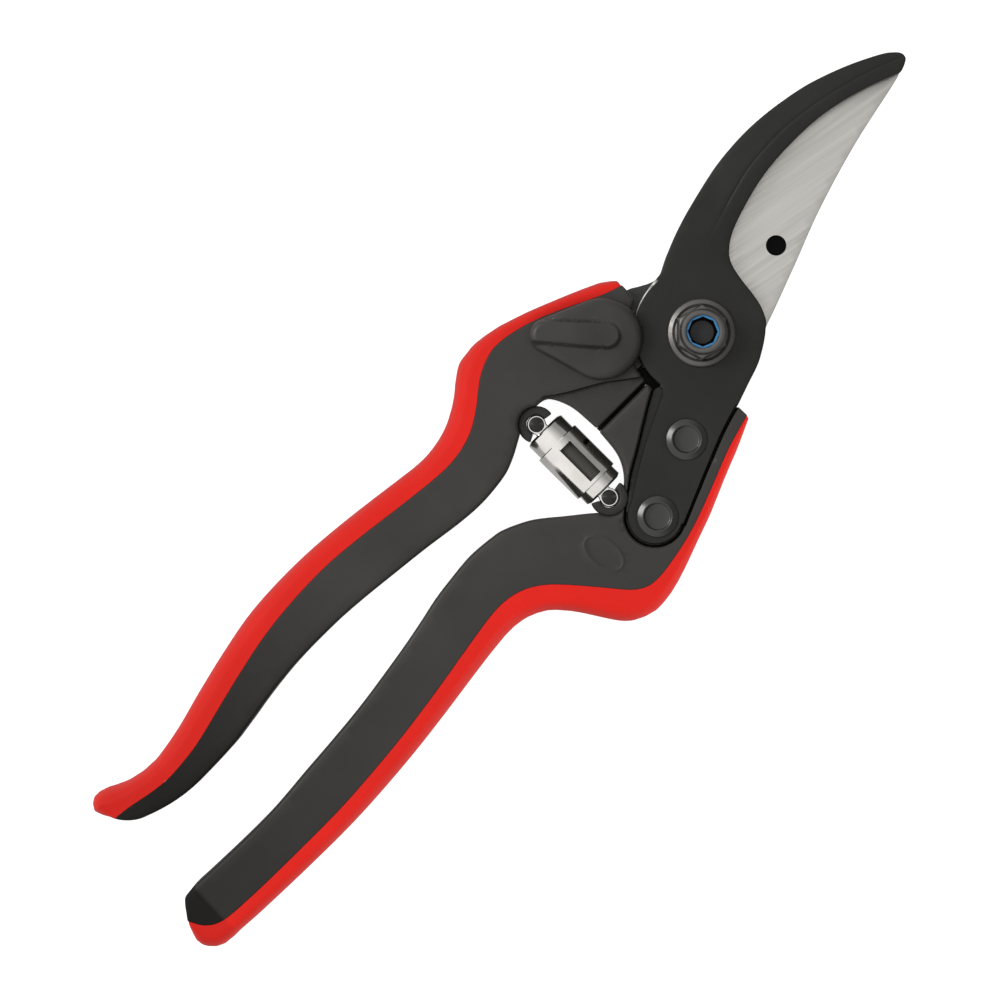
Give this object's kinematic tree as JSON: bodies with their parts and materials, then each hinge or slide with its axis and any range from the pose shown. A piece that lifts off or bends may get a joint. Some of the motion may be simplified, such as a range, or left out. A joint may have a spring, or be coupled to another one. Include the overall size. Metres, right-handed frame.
{
  "type": "bypass pruner",
  "caption": "One-hand bypass pruner with composite handles, soft red grips, hooked counter blade, ground cutting blade, thumb catch and telescoping return spring.",
  "frame": {"origin": "on the axis of the blade pivot, in the flat back of the pivot bolt's head, which is the plane the tool rests on", "axes": "+X along the closed handles towards the blade tip, +Y towards the upper handle, +Z out of the front face along the pivot bolt"},
  "size_m": [0.2255, 0.0636, 0.0194],
  "materials": {
    "core_plastic": "fine spark-eroded texture, dark grey",
    "grip_rubber": "soft-touch satin, signal red",
    "black_steel": "satin black non-stick coating",
    "blade_steel": "surface-ground satin",
    "fastener_black": "phosphated dark grey",
    "bare_steel": "turned",
    "bronze": "sintered bronze",
    "blue_nylon": "moulded nylon, light blue",
    "nickel": "bright nickel plate",
    "black_plastic": "moulded black acetal",
    "catch_plastic": "moulded dark grey, slightly satin",
    "spring_wire": "drawn spring wire"
  },
  "bodies": {
    "lower": {"lower_handle_core": "core_plastic", "lower_handle_grip": "grip_rubber", "counter_blade": "black_steel", "counter_blade_rivet_front": "black_steel", "counter_blade_rivet_rear": "black_steel", "lower_spring_seat": "black_plastic", "lower_seat_pin": "black_steel", "pivot_bolt": "fastener_black", "pivot_bush": "bronze", "pivot_washer": "bare_steel", "pivot_nut": "fastener_black", "pivot_nut_insert": "blue_nylon"},
    "upper": {"upper_handle_core": "core_plastic", "upper_handle_grip": "grip_rubber", "cutting_blade": "blade_steel", "cutting_blade_rivet_front": "black_steel", "cutting_blade_rivet_rear": "black_steel", "upper_spring_seat": "black_plastic", "upper_seat_pin": "black_steel", "catch_spring_washer": "bare_steel"},
    "catch": {"thumb_catch": "catch_plastic", "catch_pawl": "bare_steel", "catch_pin": "bare_steel"},
    "cartridge_lower": {"spring_foot_lower": "nickel", "spring_cup_lower": "nickel", "return_spring": "spring_wire"},
    "cartridge_sleeve": {"spring_sleeve": "nickel"},
    "cartridge_upper": {"spring_cup_upper": "nickel", "spring_plunger": "black_plastic", "spring_foot_upper": "nickel"}
  },
  "joints": [
    {"name": "handle_pivot", "type": "hinge", "parent": "lower", "child": "upper", "pos_m": [0, 0, 0.00755], "axis": [0, 0, -1], "range_deg": [0, 25]},
    {"name": "catch_pivot", "type": "hinge", "parent": "upper", "child": "catch", "pos_m": [-0.0146, 0.0136, 0.01345], "axis": [0, 0, 1], "range_deg": [0, 35]},
    {"name": "spring_swivel", "type": "hinge", "parent": "lower", "child": "cartridge_lower", "pos_m": [-0.0362, -0.0103, 0.00755], "axis": [0, 0, -1], "range_deg": [0, 12.5]},
    {"name": "sleeve_slide", "type": "slide", "parent": "cartridge_lower", "child": "cartridge_sleeve", "axis": [0, 1, 0], "range_m": [0, 0.00759]},
    {"name": "cup_slide", "type": "slide", "parent": "cartridge_lower", "child": "cartridge_upper", "axis": [0, 1, 0], "range_m": [0, 0.01518]}
  ],
  "couplings": [
    {"joint": "spring_swivel", "follows": "handle_pivot", "ratio": 0.5},
    {"joint": "sleeve_slide", "follows": "handle_pivot", "m_per_rad": 0.017395},
    {"joint": "cup_slide", "follows": "handle_pivot", "m_per_rad": 0.03479}
  ]
}
